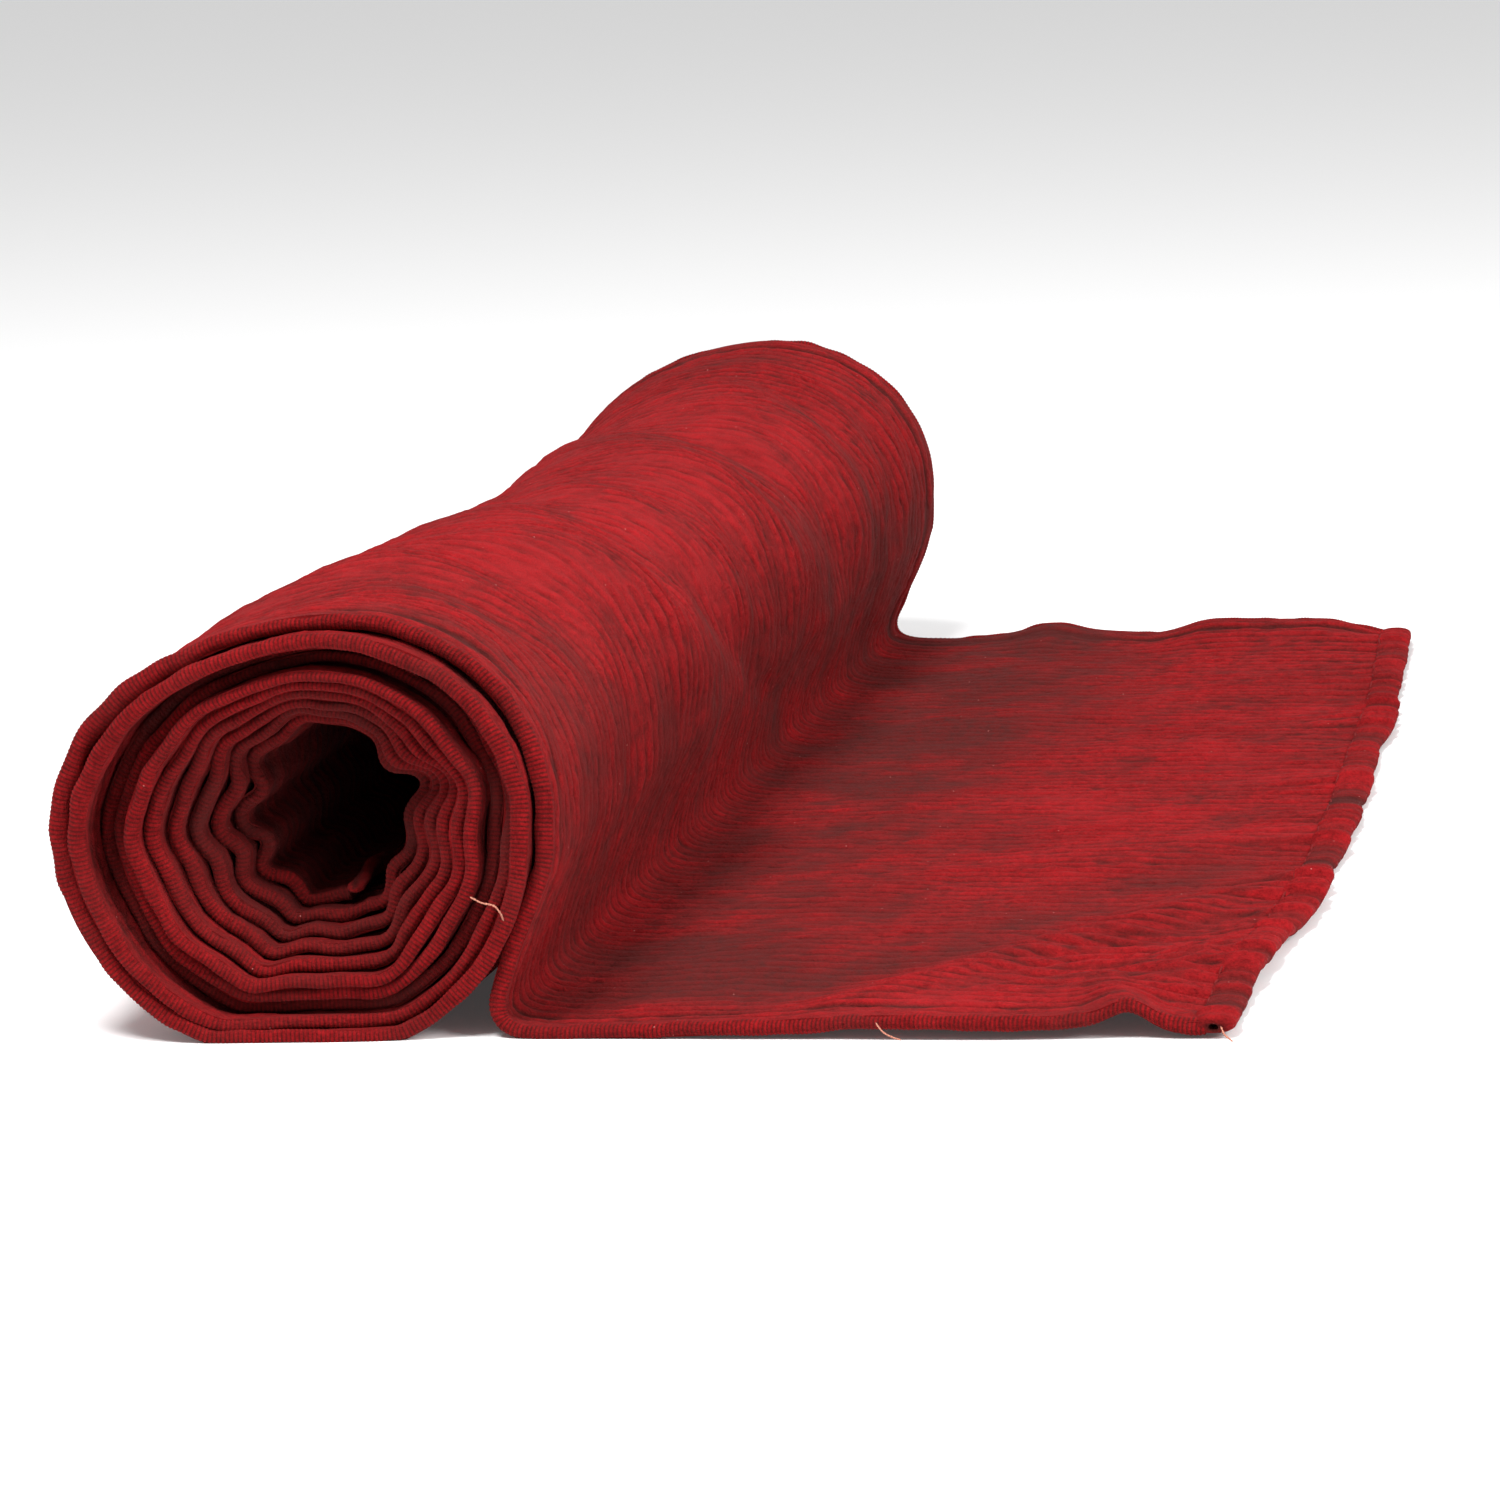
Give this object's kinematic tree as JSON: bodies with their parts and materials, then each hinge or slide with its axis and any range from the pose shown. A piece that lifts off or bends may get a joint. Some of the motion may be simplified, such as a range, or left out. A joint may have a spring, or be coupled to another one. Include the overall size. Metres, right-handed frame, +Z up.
{
  "type": "rolled backdrop cloth",
  "caption": "Wide ribbed plush cloth wound up without a core and lying on its flattened underside, with its loose end spread flat beside the roll.",
  "frame": {"origin": "on the floor, in the middle of the roll's flattened underside", "axes": "+Y along the roll's length, +Z up from the floor, +X the way the loose end runs"},
  "size_m": [0.308, 0.6112, 0.1102],
  "materials": {
    "cloth": "ribbed plush pile",
    "hem_cloth": "ribbed plush, gathered and doubled",
    "edging": "dense overlock stitching",
    "thread": "spun sewing thread"
  },
  "bodies": {
    "outer_turns": {"winding_07": "cloth", "winding_08": "cloth", "winding_09": "cloth", "outer_wrap": "cloth", "drop": "cloth", "foot": "cloth", "near_edging_outer": "edging", "far_edging_outer": "edging", "thread_tail_face": "thread"},
    "middle_turns": {"winding_04": "cloth", "winding_05": "cloth", "winding_06": "cloth", "near_edging_middle": "edging", "far_edging_middle": "edging"},
    "inner_turns": {"winding_01": "cloth", "winding_02": "cloth", "winding_03": "cloth", "near_edging_inner": "edging", "far_edging_inner": "edging", "inner_end_hem": "hem_cloth"},
    "flap_1": {"loose_end_1": "cloth", "near_edging_flap_1": "edging", "far_edging_flap_1": "edging"},
    "flap_2": {"loose_end_2": "cloth", "near_edging_flap_2": "edging", "far_edging_flap_2": "edging", "thread_tail_edge": "thread"},
    "flap_3": {"loose_end_3": "cloth", "near_edging_flap_3": "edging", "far_edging_flap_3": "edging"},
    "flap_4": {"loose_end_4": "cloth", "near_edging_flap_4": "edging", "far_edging_flap_4": "edging", "end_hem": "hem_cloth", "end_hem_stitches": "thread", "thread_tail_corner": "thread"}
  },
  "joints": [
    {"name": "middle_slide", "type": "slide", "parent": "outer_turns", "child": "middle_turns", "axis": [0, 1, 0], "range_m": [-0.012, 0.012]},
    {"name": "inner_slide", "type": "slide", "parent": "middle_turns", "child": "inner_turns", "axis": [0, 1, 0], "range_m": [-0.012, 0.012]},
    {"name": "lift", "type": "hinge", "parent": "outer_turns", "child": "flap_1", "pos_m": [0.08095, 0, 0.0025], "axis": [0, -1, 0], "range_deg": [0, 90]},
    {"name": "curl_2", "type": "hinge", "parent": "flap_1", "child": "flap_2", "pos_m": [0.12095, 0, 0.0025], "axis": [0, -1, 0], "range_deg": [0, 18]},
    {"name": "curl_3", "type": "hinge", "parent": "flap_2", "child": "flap_3", "pos_m": [0.16096, 0, 0.0025], "axis": [0, -1, 0], "range_deg": [0, 18]},
    {"name": "curl_4", "type": "hinge", "parent": "flap_3", "child": "flap_4", "pos_m": [0.20096, 0, 0.0025], "axis": [0, -1, 0], "range_deg": [0, 18]}
  ],
  "couplings": [
    {"joint": "inner_slide", "follows": "middle_slide", "ratio": 1},
    {"joint": "curl_3", "follows": "curl_2", "ratio": 1},
    {"joint": "curl_4", "follows": "curl_2", "ratio": 1}
  ]
}
